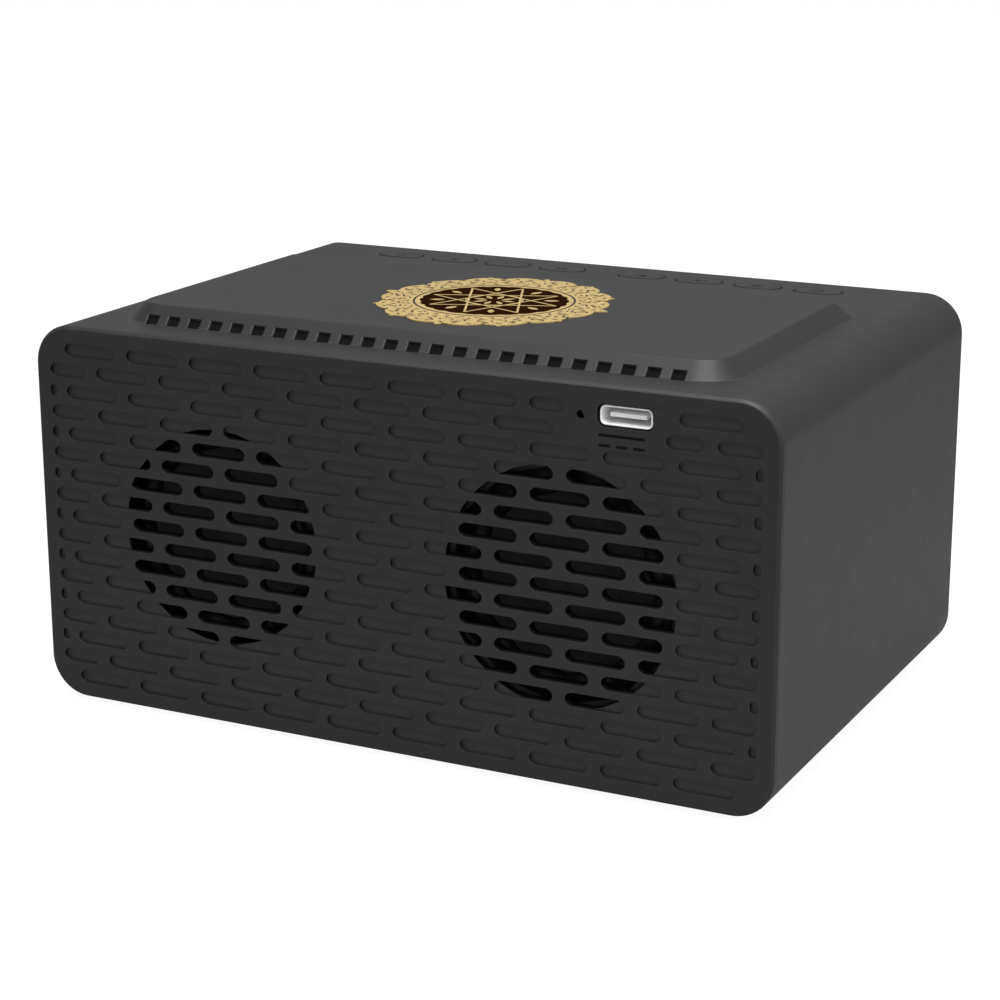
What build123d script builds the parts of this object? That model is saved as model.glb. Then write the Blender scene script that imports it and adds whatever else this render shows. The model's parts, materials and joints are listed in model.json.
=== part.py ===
from build123d import *
import math
import os

os.makedirs("parts", exist_ok=True)

# Table clock with speakers. Millimetres, +Z up, the display faces -Y, the speaker grille +Y.
# The origin is on the table, under the middle of the body.

# Body
WIDTH, DEPTH, BODY_HEIGHT = 150.0, 102.5, 73.7
EDGE_RADIUS = 7.8  # the four edges that run front to back
RIM_CHAMFER = 0.6
WALL = 2.4
FIT_GAP = 0.15  # between pieces that slip into each other
FOOT_PROUD = 1.0
FRONT_Y, REAR_Y = -DEPTH / 2, DEPTH / 2
BASE_Z, TOP_Z = FOOT_PROUD, FOOT_PROUD + BODY_HEIGHT
MID_Z = (BASE_Z + TOP_Z) / 2
FLOOR_Z, CEILING_Z = BASE_Z + WALL, TOP_Z - WALL

# Raised deck with a row of blind vents in its rear slope
DECK_WIDTH, DECK_LENGTH, DECK_RISE = 124.7, 63.0, 3.3
DECK_Y = 11.1
DECK_INSET = 2.9  # how far its sides lean in over the rise
DECK_CORNER = 7.8  # rear corners only
DECK_WALL, DECK_SHOULDER = 1.7, 0.8  # its top wall, and how far in the hollow below begins
DECK_Z = TOP_Z + DECK_RISE
DECK_TAPER = math.degrees(math.atan(DECK_INSET / DECK_RISE))
VENT_COUNT, VENT_PITCH, VENT_X = 24, 4.65, 0.94
VENT_WIDTH, VENT_HEIGHT, VENT_DEPTH, VENT_DROP = 2.4, 1.35, 1.5, 0.6

# Rear cover and its grille
RIM_THICKNESS, PLATE_THICKNESS, LIP_WALL, LIP_LENGTH = 1.2, 2.2, 1.4, 2.5
SEAM_Y, PLATE_Y = REAR_Y - RIM_THICKNESS, REAR_Y - PLATE_THICKNESS
LIP_Y = PLATE_Y - LIP_LENGTH
SLOT_LENGTH, SLOT_HEIGHT, SLOT_DEPTH, SLOT_LIMIT = 11.8, 2.6, 0.6, 71.8
ROW_PITCH, COLUMN_PITCH = 4.05, 6.933
HALF_ROWS, HALF_COLUMNS = 8, 10
GRILLE_Z = MID_Z - 0.1
STUB_X, STUB_HEIGHT, STUB_WIDTH, STUB_ROWS = 71.1, 2.4, 1.4, 6  # short upright slots at both ends
END_FLATS = 3  # flats that stand for each round slot end
OPENING_SIDES = 32
LEAST_OPENING = 2.5  # a slot stays blind where a speaker's circle takes less area of it

# Power inlet and reset hole, in the upper corner of the cover
PORT_X, PORT_Z, PORT_WIDTH, PORT_HEIGHT, PORT_CORNER = -46.85, 69.4, 10.3, 4.0, 1.3
PORT_ZONE, PORT_ROWS = (-54.2, -35.5), 7  # no slots between these X, from this row up
RESET_X, RESET_Z, RESET_HOLE_RADIUS = -38.6, PORT_Z - 0.3, 0.8
SOCKET_WIDTH, SOCKET_HEIGHT, SOCKET_WALL = 9.7, 3.5, 0.3
SOCKET_LENGTH, SOCKET_BACK, SOCKET_RECESS = 7.0, 0.8, 0.5
TONGUE_WIDTH, TONGUE_THICKNESS, TONGUE_RECESS = 6.7, 0.7, 0.9
RESET_TRAVEL_SPACE, RESET_FACE_Y = 0.6, PLATE_Y - 0.9
RESET_WIDTH, RESET_LENGTH, RESET_HEIGHT = 4.8, 3.5, 3.3
RESET_BORE, RESET_PIN, RESET_BORE_DEPTH = 1.0, 0.9, 1.8

# Snap hooks between cover and housing
HOOK_WIDTH, HOOK_LENGTH, HOOK_CATCH, HOOK_DROP, HOOK_PLAY = 8.0, 3.5, 0.8, 1.4, 0.25
TOP_HOOK_X, FLOOR_HOOK_X = 25.0, 45.0
HOOK_TIP_Y = LIP_Y - HOOK_LENGTH

# Front stack: bezel against a ledge, window in the bezel, display board behind
BEZEL_Y, BEZEL_THICKNESS = FRONT_Y + 0.35, 2.6
BEZEL_BACK_Y = BEZEL_Y + BEZEL_THICKNESS
LEDGE_DEPTH, LEDGE_WIDTH = 1.4, 1.6
LENS_WIDTH, LENS_HEIGHT, LENS_CORNER, LENS_THICKNESS = 139.0, 62.6, 3.0, 1.8
WINDOW_MARGIN = 3.4
WINDOW_CORNER, LENS_PLAY = 1.5, 0.1
LUG_Y, LUG_THICKNESS, LUG_SIZE = -44.5, 2.0, 10.0
BEZEL_POST_RADIUS = 2.5
CORNER_X, CORNER_Z = 67.0, 28.6
BOARD_THICKNESS = 1.6
DISPLAY_Y, DISPLAY_WIDTH, DISPLAY_LOW, DISPLAY_HIGH = -39.4, 141.0, 10.5, 64.4
DISPLAY_POST_X, DISPLAY_POST_Z = 68.3, 14.0
DIGIT_WIDTH, DIGIT_HEIGHT, MODULE_DEPTH = 24.0, 34.0, 8.5
DIGIT_X = {"hour_tens": -41.5, "hour_units": -15.5, "minute_tens": 15.5, "minute_units": 41.5}
COLON_WIDTH, COLON_HEIGHT = 5.0, 20.0

# Keys in a row along the front of the top, and their switches
KEY_NAMES = ("power", "mode", "previous", "play", "next", "volume_down", "volume_up", "set")
KEY_X = (-47.4, -34.6, -21.8, -9.0, 9.0, 21.8, 34.6, 47.4)
KEY_Y, KEY_LENGTH, KEY_WIDTH, KEY_PROUD, KEY_GAP = -42.6, 10.0, 5.2, 0.05, 0.2
KEY_FLANGE, KEY_FLANGE_THICKNESS, KEY_SEAT_GAP = 0.7, 0.75, 0.1
KEY_TRAVEL_SPACE, KEY_CHAMFER = 0.7, 0.15
KEY_FLATS = 5  # flats that stand for each round key end
SWITCH_SIZE, SWITCH_HEIGHT, SWITCH_FLOOR = 6.0, 3.45, 0.9
PLUNGER_RADIUS, PLUNGER_GAP = 1.7, 0.05
KEY_BOARD_TOP, KEY_BOARD_WIDTH, KEY_BOARD_LENGTH = 67.0, 8.6, 119.0
KEY_POST_X, KEY_POST_RADIUS = (-56.5, 0.0, 56.5), 2.1

# Speakers, seen from the display side
SPEAKERS = {"left": (-34.25, 22.4), "right": (35.2, 20.7)}  # X, radius of the open circle
SPEAKER_Z = MID_Z - 0.45
FLANGE_Y = PLATE_Y - 2.0  # front of the speaker's flange
FLANGE_RADIUS, FLANGE_THICKNESS, BASKET_MOUTH = 25.0, 1.0, 20.6
EAR_OFFSET, EAR_RADIUS = 19.2, 3.2
MAGNET_RADIUS, MAGNET_HOLE, PLATE_HOLE, POLE_RADIUS, COIL_RADIUS = 15.5, 9.0, 7.5, 6.2, 6.9
TOP_PLATE_Y, MAGNET_Y, YOKE_Y = -11.0, -12.2, -19.2  # behind the flange's front
CONE_DEPTH, CONE_RADIUS, CONE_WALL = 7.0, 16.5, 0.5
ROLL_RADIUS, ROLL_CENTRE, ROLL_WALL = 1.7, 18.4, 0.35
GASKET_RING = (22.0, 24.2)
BASKET_WALL, BASKET_WINDOW = 0.9, 14.0
LARGE_SIDES, SMALL_SIDES, POST_SIDES = 12, 8, 6  # flats that stand for round pieces

# Boards on the floor and behind the inlet
MAIN_BOARD_LOW, MAIN_BOARD_X, MAIN_BOARD_Y = 9.0, (-50.0, 50.0), (-32.0, 14.0)
POWER_BOARD_X, POWER_BOARD_Y = (-57.0, -33.0), (31.0, 48.5)
STANDOFF_RADIUS, PILOT_RADIUS, SCREW_RADIUS, CLEAR_RADIUS = 2.8, 0.95, 0.8, 1.3
SCREW_LENGTH, SCREW_HEAD_RADIUS, SCREW_HEAD_HEIGHT, SHANK_SIDES = 3.6, 2.0, 1.3, 4
BOARD_HOLE_X, BOARD_HOLE_Y = 46.0, (-28.0, 10.0)
CHIP_HEIGHT = 1.3
CONNECTOR_WIDTH, CONNECTOR_HEIGHT, FRONT_HEADER_Y, REAR_HEADER_Y = 5.0, 6.0, -28.0, 10.0
CELL_PLACE, CELL_RADIUS, CELL_HEIGHT = (30.0, -8.0), 10.0, 3.2
HOLDER_WALL, HOLDER_FLOOR, HOLDER_HEIGHT, NOTCH_WIDTH = 1.2, 0.8, 3.6, 8.0
LEAD_X, LEAD_WIDTH, LEAD_THICKNESS = (-26.0, 26.0), 3.0, 0.6
LEAD_START_Z, LEAD_LOW_Z, LEAD_TURN_Y, LEAD_HIGH_Z = 18.0, 6.5, 18.0, 19.0

# Medallion on the deck
MEDAL_X, MEDAL_Y, MEDAL_WIDTH, MEDAL_LENGTH, MEDAL_THICKNESS = -1.5, 10.0, 42.8, 45.4, 0.2
FIELD_WIDTH, FIELD_LENGTH, FIELD_THICKNESS = 28.6, 27.5, 0.1
MEDAL_LOBES, MEDAL_WAVE, MEDAL_TIP = 16, 0.03, 0.9
LOBE_STEPS = 3

FOOT_X, FOOT_Y, FOOT_RADIUS, FOOT_SIDES = 57.0, 37.0, 7.0, 20


# Helpers


def spread(pitch, count):
    """Places of a row of items that is centred on zero."""
    return [(i - (count - 1) / 2) * pitch for i in range(count)]


def slab(outline, y_front, y_back):
    """Solid between two depths, from an outline drawn in X and Z."""
    plane = Plane(origin=(0, y_back, 0), x_dir=(1, 0, 0), z_dir=(0, -1, 0))
    return extrude(plane * outline, amount=y_back - y_front)


def layer(outline, z_low, z_high):
    """Solid between two heights, from an outline drawn in X and Y."""
    return extrude(Pos(0, 0, z_low) * outline, amount=z_high - z_low)


def block(x, y, z):
    """Box from three (low, high) pairs."""
    size = [high - low for low, high in (x, y, z)]
    return Pos(*[(low + high) / 2 for low, high in (x, y, z)]) * Box(*size)


def post_y(x, z, radius, y_front, y_back, sides=POST_SIDES):
    """Many-sided post or hole along Y."""
    return slab(Pos(x, z) * RegularPolygon(radius, sides), y_front, y_back)


def post_z(x, y, radius, z_low, z_high, sides=POST_SIDES):
    """Many-sided post or hole along Z."""
    return layer(Pos(x, y) * RegularPolygon(radius, sides), z_low, z_high)


def corners(x, y):
    """The four mirror images of a point."""
    return [(sx * x, sy * y) for sx in (-1, 1) for sy in (-1, 1)]


def body_outline(inset=0.0):
    """The body's front view, drawn in X and Z."""
    rounded = RectangleRounded(WIDTH - 2 * inset, BODY_HEIGHT - 2 * inset, EDGE_RADIUS - inset)
    return Pos(0, MID_Z) * rounded


def pill(length, height, flats=END_FLATS):
    """Pill along X, each of its round ends drawn as a few flats."""
    radius = height / 2
    reach = length / 2 - radius
    turns = [math.pi * (i / flats - 0.5) for i in range(flats + 1)]
    right = [(reach + radius * math.cos(t), radius * math.sin(t)) for t in turns]
    left = [(-x, -y) for x, y in right]
    return Polygon(*right, *left, align=None)


def make_screw():
    """Short screw along Z: its head stands on the plane z = 0 and its shank hangs below."""
    head = post_z(0, 0, SCREW_HEAD_RADIUS, 0, SCREW_HEAD_HEIGHT)
    return head + post_z(0, 0, SCREW_RADIUS, -SCREW_LENGTH, 0, SHANK_SIDES)


# Housing


def deck_block(inset, z_low, z_high):
    """Leaning block with the deck's plan: square corners in front, round ones behind."""
    plan = Pos(0, DECK_Y) * Rectangle(DECK_WIDTH - 2 * inset, DECK_LENGTH - 2 * inset)
    plan = fillet(plan.vertices().group_by(Axis.Y)[-1], DECK_CORNER)
    return extrude(Pos(0, 0, z_low) * plan, amount=z_high - z_low, taper=DECK_TAPER)


def vent_cutters():
    """Square blind notches at the foot of the deck's rear slope, their floors below the flat top."""
    back, half = DECK_Y + DECK_LENGTH / 2, VENT_WIDTH / 2
    height = (TOP_Z - VENT_DROP, TOP_Z + VENT_HEIGHT)
    middles = [VENT_X + x for x in spread(VENT_PITCH, VENT_COUNT)]
    return [block((x - half, x + half), (back - VENT_DEPTH, back), height) for x in middles]


def key_holes():
    hole = pill(KEY_LENGTH + 2 * KEY_GAP, KEY_WIDTH + 2 * KEY_GAP, KEY_FLATS)
    return [layer(Pos(x, KEY_Y) * hole, CEILING_Z - 1, TOP_Z + 1) for x in KEY_X]


def hook_places():
    """Where the cover's six snap hooks sit: X, Z and the turn that faces each one outward."""
    rise, side = BODY_HEIGHT / 2 - WALL, WIDTH / 2 - WALL
    top = [(x, rise, 0) for x in (-TOP_HOOK_X, TOP_HOOK_X)]
    floor = [(x, -rise, 180) for x in (-FLOOR_HOOK_X, FLOOR_HOOK_X)]
    return top + floor + [(side, 0, -90), (-side, 0, 90)]


def catch_pockets():
    """Shallow pockets in the wall that the snap hooks' noses drop into."""
    half = HOOK_WIDTH / 2 + HOOK_PLAY
    depth = (HOOK_TIP_Y - HOOK_PLAY, HOOK_TIP_Y + HOOK_DROP + HOOK_PLAY)
    pocket = block((-half, half), depth, (-1, HOOK_CATCH + HOOK_PLAY))
    return [Pos(x, 0, MID_Z + z) * Rot(0, -turn, 0) * pocket for x, z, turn in hook_places()]


def bezel_lugs():
    """Corner tabs that the bezel's screws pull against."""
    inside = slab(body_outline(WALL / 2), FRONT_Y, REAR_Y)
    lugs = []
    for x, z in corners(CORNER_X, CORNER_Z):
        tab = slab(Pos(x, MID_Z + z) * Rectangle(LUG_SIZE, LUG_SIZE), LUG_Y, LUG_Y + LUG_THICKNESS)
        lugs.append((tab & inside) - post_y(x, MID_Z + z, CLEAR_RADIUS, LUG_Y - 1, LUG_Y + 3))
    return lugs


def make_main_housing():
    shell = slab(body_outline(), FRONT_Y, SEAM_Y)
    shell = chamfer(shell.faces().sort_by(Axis.Y)[0].edges(), RIM_CHAMFER)
    shell += deck_block(0, TOP_Z, DECK_Z)
    shell -= slab(body_outline(WALL), FRONT_Y - 1, SEAM_Y + 1)
    shell -= deck_block(DECK_SHOULDER, CEILING_Z, DECK_Z - DECK_WALL)
    shell -= vent_cutters() + key_holes() + catch_pockets()
    ledge = body_outline(WALL - 0.2) - body_outline(WALL + LEDGE_WIDTH)
    shell += slab(ledge, BEZEL_BACK_Y, BEZEL_BACK_Y + LEDGE_DEPTH)
    shell += bezel_lugs()
    for x in KEY_POST_X:
        shell += post_z(x, KEY_Y, KEY_POST_RADIUS, KEY_BOARD_TOP, CEILING_Z + 0.5)
        shell -= post_z(x, KEY_Y, PILOT_RADIUS, KEY_BOARD_TOP, CEILING_Z)
    for x, y in main_board_holes():
        shell += post_z(x, y, STANDOFF_RADIUS, FLOOR_Z - 0.5, MAIN_BOARD_LOW)
        shell -= post_z(x, y, PILOT_RADIUS, FLOOR_Z + 1, MAIN_BOARD_LOW)
    return shell


def make_rubber_feet():
    return [post_z(x, y, FOOT_RADIUS, 0, BASE_Z, FOOT_SIDES) for x, y in corners(FOOT_X, FOOT_Y)]


# Rear cover


def slot_spans():
    """Low X, high X and Z of every grille slot, row by row, staggered by half a pitch."""
    for row in range(-HALF_ROWS, HALF_ROWS + 1):
        for column in range(-HALF_COLUMNS, HALF_COLUMNS + 1):
            if (row + column) % 2 == 0:
                continue
            middle = column * COLUMN_PITCH
            low = max(middle - SLOT_LENGTH / 2, -SLOT_LIMIT)
            high = min(middle + SLOT_LENGTH / 2, SLOT_LIMIT)
            if row >= PORT_ROWS and low < PORT_ZONE[1] and high > PORT_ZONE[0]:
                low, high = (PORT_ZONE[1], high) if high > PORT_ZONE[1] else (low, PORT_ZONE[0])
            if high - low > 2 * SLOT_HEIGHT:
                yield low, high, GRILLE_Z + row * ROW_PITCH


def slot_cutters():
    """Shallow recess of every slot, and the way through where a slot lies over a speaker."""
    cutters = []
    for low, high, z in slot_spans():
        slot = Pos((low + high) / 2, z) * pill(high - low, SLOT_HEIGHT)
        through = openings(slot)
        if sum(part.area for part in through) < slot.area - LEAST_OPENING:
            cutters.append(slab(slot, REAR_Y - SLOT_DEPTH, REAR_Y + 1))
        cutters += [slab(part, PLATE_Y - 1, REAR_Y + 1) for part in through]
    return cutters


def openings(slot):
    """Parts of a slot's outline that lie in a speaker's circle."""
    circles = [Pos(x, SPEAKER_Z) * RegularPolygon(radius, OPENING_SIDES) for x, radius in SPEAKERS.values()]
    overlaps = [slot & circle for circle in circles]
    return [part for part in overlaps if part and part.area > LEAST_OPENING]


def stub_cutters():
    stub = Rot(0, 0, 90) * pill(STUB_HEIGHT, STUB_WIDTH)
    rows = [GRILLE_Z + row * ROW_PITCH for row in range(-STUB_ROWS, STUB_ROWS + 1, 2)]
    places = [Pos(x, z) for x in (-STUB_X, STUB_X) for z in rows]
    return [slab(place * stub, REAR_Y - SLOT_DEPTH, REAR_Y + 1) for place in places]


def snap_hooks():
    """Cantilever tongues behind the cover's lip, each with a nose that faces the wall."""
    half, root, neck = HOOK_WIDTH / 2, -FIT_GAP - LIP_WALL, HOOK_TIP_Y + HOOK_DROP
    tongue = block((-half, half), (HOOK_TIP_Y, PLATE_Y), (root, -FIT_GAP))
    nose = Plane.YZ * Polygon((HOOK_TIP_Y, root / 2), (neck, root / 2), (neck, HOOK_CATCH), align=None)
    tongue += Pos(-half, 0, 0) * extrude(nose, amount=HOOK_WIDTH)
    return [Pos(x, 0, MID_Z + z) * Rot(0, -turn, 0) * tongue for x, z, turn in hook_places()]


def speaker_ears(x):
    return [(x + ear_x, SPEAKER_Z + ear_z) for ear_x, ear_z in corners(EAR_OFFSET, EAR_OFFSET)]


def power_board_rails():
    """Two arms that carry the power board."""
    low, high = POWER_BOARD_X
    under = power_board_top() - BOARD_THICKNESS
    return [
        block((x - 1.5, x + 1.5), (POWER_BOARD_Y[0] + 3, PLATE_Y), (under - 3, under))
        for x in (low + 2.5, high - 2.5)
    ]


def make_rear_cover():
    plate = slab(body_outline(), SEAM_Y, REAR_Y)
    plate = chamfer(plate.faces().sort_by(Axis.Y)[-1].edges(), RIM_CHAMFER)
    inner, lip_hole = body_outline(WALL + FIT_GAP), body_outline(WALL + FIT_GAP + LIP_WALL)
    plate += slab(inner, PLATE_Y, SEAM_Y) + slab(inner - lip_hole, LIP_Y, PLATE_Y)
    plate += snap_hooks() + power_board_rails()
    for x, _ in SPEAKERS.values():
        for ear_x, ear_z in speaker_ears(x):
            plate += post_y(ear_x, ear_z, STANDOFF_RADIUS, FLANGE_Y, PLATE_Y)
            plate -= post_y(ear_x, ear_z, PILOT_RADIUS, FLANGE_Y, PLATE_Y + 0.8)
    port = RectangleRounded(PORT_WIDTH, PORT_HEIGHT, PORT_CORNER)
    plate -= slab(Pos(PORT_X, PORT_Z) * port, PLATE_Y - 1, REAR_Y + 1)
    plate -= post_y(RESET_X, RESET_Z, RESET_HOLE_RADIUS, PLATE_Y - 1, REAR_Y + 1, SMALL_SIDES)
    board_x = (POWER_BOARD_X[0] - 0.5, POWER_BOARD_X[1] + 0.5)
    plate -= block(board_x, (LIP_Y - 1, PLATE_Y), (power_board_top() - BOARD_THICKNESS, CEILING_Z))
    return plate - slot_cutters() - stub_cutters()


# Front


def display_posts():
    return [(x, MID_Z - 0.4 + z) for x, z in corners(DISPLAY_POST_X, DISPLAY_POST_Z)]


def lens_outline(inset, corner):
    return Pos(0, MID_Z) * RectangleRounded(LENS_WIDTH - 2 * inset, LENS_HEIGHT - 2 * inset, corner)


def make_front_bezel():
    frame = slab(body_outline(WALL + FIT_GAP), BEZEL_Y, BEZEL_BACK_Y)
    frame -= slab(lens_outline(-LENS_PLAY, LENS_CORNER + LENS_PLAY), BEZEL_Y - 1, BEZEL_Y + LENS_THICKNESS)
    frame -= slab(lens_outline(WINDOW_MARGIN, WINDOW_CORNER), BEZEL_Y, BEZEL_BACK_Y)
    posts = [(x, MID_Z + z, LUG_Y) for x, z in corners(CORNER_X, CORNER_Z)]
    posts += [(x, z, DISPLAY_Y) for x, z in display_posts()]
    for x, z, end in posts:
        frame += post_y(x, z, BEZEL_POST_RADIUS, BEZEL_BACK_Y, end)
        frame -= post_y(x, z, PILOT_RADIUS, BEZEL_BACK_Y + 0.2, end)
    return frame


def make_display_lens():
    return slab(lens_outline(0, LENS_CORNER), BEZEL_Y, BEZEL_Y + LENS_THICKNESS)


def make_display_board():
    height = DISPLAY_HIGH - DISPLAY_LOW
    outline = Pos(0, DISPLAY_LOW + height / 2) * Rectangle(DISPLAY_WIDTH, height)
    board = slab(outline, DISPLAY_Y, DISPLAY_Y + BOARD_THICKNESS)
    return board - [post_y(x, z, CLEAR_RADIUS, DISPLAY_Y - 1, DISPLAY_Y + 3) for x, z in display_posts()]


def display_module(x, width, height):
    """Light module of the display, a plain block that stands on the board."""
    return slab(Pos(x, MID_Z) * Rectangle(width, height), DISPLAY_Y - MODULE_DEPTH, DISPLAY_Y)


# Keys


def make_key(x):
    """Key cap with a flange that keeps it under the top wall."""
    cap = layer(Pos(x, KEY_Y) * pill(KEY_LENGTH, KEY_WIDTH, KEY_FLATS), flange_top(), TOP_Z + KEY_PROUD)
    cap = chamfer(cap.faces().sort_by(Axis.Z)[-1].edges(), KEY_CHAMFER)
    wide = Rectangle(KEY_LENGTH + 2 * KEY_FLANGE, KEY_WIDTH + 2 * KEY_FLANGE)
    return cap + layer(Pos(x, KEY_Y) * wide, flange_low(), flange_top())


def flange_top():
    return CEILING_Z - KEY_SEAT_GAP


def flange_low():
    return flange_top() - KEY_FLANGE_THICKNESS


def make_plunger(x):
    bottom = KEY_BOARD_TOP + SWITCH_FLOOR + KEY_TRAVEL_SPACE
    return post_z(x, KEY_Y, PLUNGER_RADIUS, bottom, flange_low(), SMALL_SIDES)


def make_switch(x):
    half = SWITCH_SIZE / 2
    floor, top = KEY_BOARD_TOP + SWITCH_FLOOR, KEY_BOARD_TOP + SWITCH_HEIGHT
    body = block((x - half, x + half), (KEY_Y - half, KEY_Y + half), (KEY_BOARD_TOP, top))
    return body - post_z(x, KEY_Y, PLUNGER_RADIUS + PLUNGER_GAP, floor, top, SMALL_SIDES)


def make_key_board():
    outline = Pos(0, KEY_Y) * Rectangle(KEY_BOARD_LENGTH, KEY_BOARD_WIDTH)
    board = layer(outline, KEY_BOARD_TOP - BOARD_THICKNESS, KEY_BOARD_TOP)
    return board - [post_z(x, KEY_Y, CLEAR_RADIUS, KEY_BOARD_TOP - 3, KEY_BOARD_TOP + 1) for x in KEY_POST_X]


# Speakers: drawn about +Y, in radius and depth behind the flange's front


def meridian(points, turn):
    """A profile of radii and depths, turned about +Y."""
    return [Vector(r * math.cos(turn), y, r * math.sin(turn)) for r, y in points]


def turned(points, sides=SMALL_SIDES):
    """Many-sided turned solid about +Y from a closed profile of radii and depths."""
    step = 2 * math.pi / sides
    faces = []
    for side in range(sides):
        here, there = meridian(points, step * side), meridian(points, step * ((side + 1) % sides))
        for i, (radius, _) in enumerate(points):
            j = (i + 1) % len(points)
            ring = [here[i], here[j]]
            ring += [there[j]] if points[j][0] > 0 else []
            ring += [there[i]] if radius > 0 else []
            if len(ring) > 2:
                faces.append(Face(Wire.make_polygon(ring)))
    return Solid(Shell(faces))


def speaker_basket():
    rim, back, skin = BASKET_MOUTH, MAGNET_RADIUS - 1.5, BASKET_WALL
    basket = turned([
        (rim, 0), (FLANGE_RADIUS, 0), (FLANGE_RADIUS, -FLANGE_THICKNESS), (rim + skin, -FLANGE_THICKNESS),
        (back + skin, TOP_PLATE_Y), (back + skin, MAGNET_Y), (PLATE_HOLE, MAGNET_Y),
        (PLATE_HOLE, TOP_PLATE_Y), (back, TOP_PLATE_Y), (rim, -FLANGE_THICKNESS),
    ])
    for x, z in corners(EAR_OFFSET, EAR_OFFSET):
        basket += post_y(x, z, EAR_RADIUS, -FLANGE_THICKNESS, 0)
        basket -= post_y(x, z, CLEAR_RADIUS, -FLANGE_THICKNESS, 0)
    half = BASKET_WINDOW / 2
    window = block((-half, half), (TOP_PLATE_Y + 2.5, -FLANGE_THICKNESS - 1.5), (0, FLANGE_RADIUS))
    return basket - [Rot(0, turn, 0) * window for turn in (0, 90, 180, 270)]


def speaker_magnet():
    return turned([
        (MAGNET_HOLE, YOKE_Y), (MAGNET_RADIUS, YOKE_Y), (MAGNET_RADIUS, MAGNET_Y), (MAGNET_HOLE, MAGNET_Y),
    ])


def speaker_yoke():
    """Back plate with the pole piece that stands in the voice coil."""
    return turned([
        (0, YOKE_Y - 2), (MAGNET_RADIUS - 1, YOKE_Y - 2), (MAGNET_RADIUS - 1, YOKE_Y),
        (POLE_RADIUS, YOKE_Y), (POLE_RADIUS, TOP_PLATE_Y), (0, TOP_PLATE_Y),
    ])


def cone_front(radius):
    """Depth of the cone's front surface at a radius."""
    return -CONE_DEPTH * (CONE_RADIUS - radius) / (CONE_RADIUS - COIL_RADIUS)


def speaker_cone():
    """Paper cone with a flat lip that the surround is glued to."""
    lip, lip_wall = CONE_RADIUS + 1.4, 0.3
    return turned([
        (COIL_RADIUS, -CONE_DEPTH), (CONE_RADIUS, 0), (lip, 0), (lip, -lip_wall),
        (CONE_RADIUS, -lip_wall), (COIL_RADIUS, -CONE_DEPTH - CONE_WALL),
    ], LARGE_SIDES)


def speaker_coil():
    top, inner = -CONE_DEPTH - CONE_WALL, COIL_RADIUS - 0.35
    return turned([(inner, -16.0), (COIL_RADIUS, -16.0), (COIL_RADIUS, top), (inner, top)])


def speaker_dust_cap():
    base = COIL_RADIUS + 1.1
    foot, rise, skin = cone_front(base) + 0.05, 2.4, 0.4
    return turned([
        (0, foot + rise), (base * 0.55, foot + rise * 0.7), (base, foot), (base - skin, foot),
        (base * 0.5, foot + rise * 0.7 - skin), (0, foot + rise - skin),
    ], LARGE_SIDES)


def roll(radius, turns):
    """Points of the surround's half-roll."""
    return [(ROLL_CENTRE + radius * math.cos(t), radius * math.sin(t)) for t in turns]


def speaker_surround():
    """Half-roll of rubber between the cone's lip and the flange, with an outer flat."""
    turns = [math.pi * i / END_FLATS for i in range(END_FLATS + 1)]
    outer_flat = [(GASKET_RING[0] - 0.1, 0), (GASKET_RING[0] - 0.1, ROLL_WALL)]
    shoulder = (ROLL_CENTRE + ROLL_RADIUS - 0.05, ROLL_WALL)
    outside, inside = roll(ROLL_RADIUS, turns[1:]), roll(ROLL_RADIUS - ROLL_WALL, turns[::-1])
    return turned(outer_flat + [shoulder] + outside + inside, LARGE_SIDES)


def speaker_gasket():
    inner, outer = GASKET_RING
    return turned([(inner, 0), (outer, 0), (outer, 2.0), (inner, 2.0)], LARGE_SIDES)


SPEAKER_PIECES = {
    "basket": speaker_basket, "magnet": speaker_magnet, "yoke": speaker_yoke, "cone": speaker_cone,
    "voice_coil": speaker_coil, "dust_cap": speaker_dust_cap, "surround": speaker_surround,
    "gasket": speaker_gasket,
}


# Power inlet and reset switch


def inlet_shell_outline(inset=0.0):
    size = RectangleRounded(SOCKET_WIDTH - 2 * inset, SOCKET_HEIGHT - 2 * inset, PORT_CORNER - 0.25 - inset)
    return Pos(PORT_X, PORT_Z) * size


def make_socket_shell():
    mouth = REAR_Y - SOCKET_RECESS
    back = mouth - SOCKET_LENGTH
    shell = slab(inlet_shell_outline(), back, mouth)
    return shell - slab(inlet_shell_outline(SOCKET_WALL), back + SOCKET_BACK, mouth)


def make_socket_tongue():
    mouth = REAR_Y - SOCKET_RECESS
    outline = Pos(PORT_X, PORT_Z) * Rectangle(TONGUE_WIDTH, TONGUE_THICKNESS)
    return slab(outline, mouth - SOCKET_LENGTH + SOCKET_BACK, mouth - TONGUE_RECESS)


def power_board_top():
    return PORT_Z - SOCKET_HEIGHT / 2


def make_power_board():
    top = power_board_top()
    return block(POWER_BOARD_X, POWER_BOARD_Y, (top - BOARD_THICKNESS, top))


def make_reset_switch():
    low, half = power_board_top(), RESET_WIDTH / 2
    depth = (RESET_FACE_Y - RESET_LENGTH, RESET_FACE_Y)
    body = block((RESET_X - half, RESET_X + half), depth, (low, low + RESET_HEIGHT))
    return body - post_y(RESET_X, RESET_Z, RESET_BORE, RESET_FACE_Y - RESET_BORE_DEPTH, RESET_FACE_Y)


def make_reset_plunger():
    inner = RESET_FACE_Y - RESET_BORE_DEPTH + RESET_TRAVEL_SPACE
    return post_y(RESET_X, RESET_Z, RESET_PIN, inner, PLATE_Y - 0.1)


# Main board


def main_board_holes():
    return [(x, y) for x in (-BOARD_HOLE_X, BOARD_HOLE_X) for y in BOARD_HOLE_Y]


def board_surface():
    return MAIN_BOARD_LOW + BOARD_THICKNESS


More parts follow.
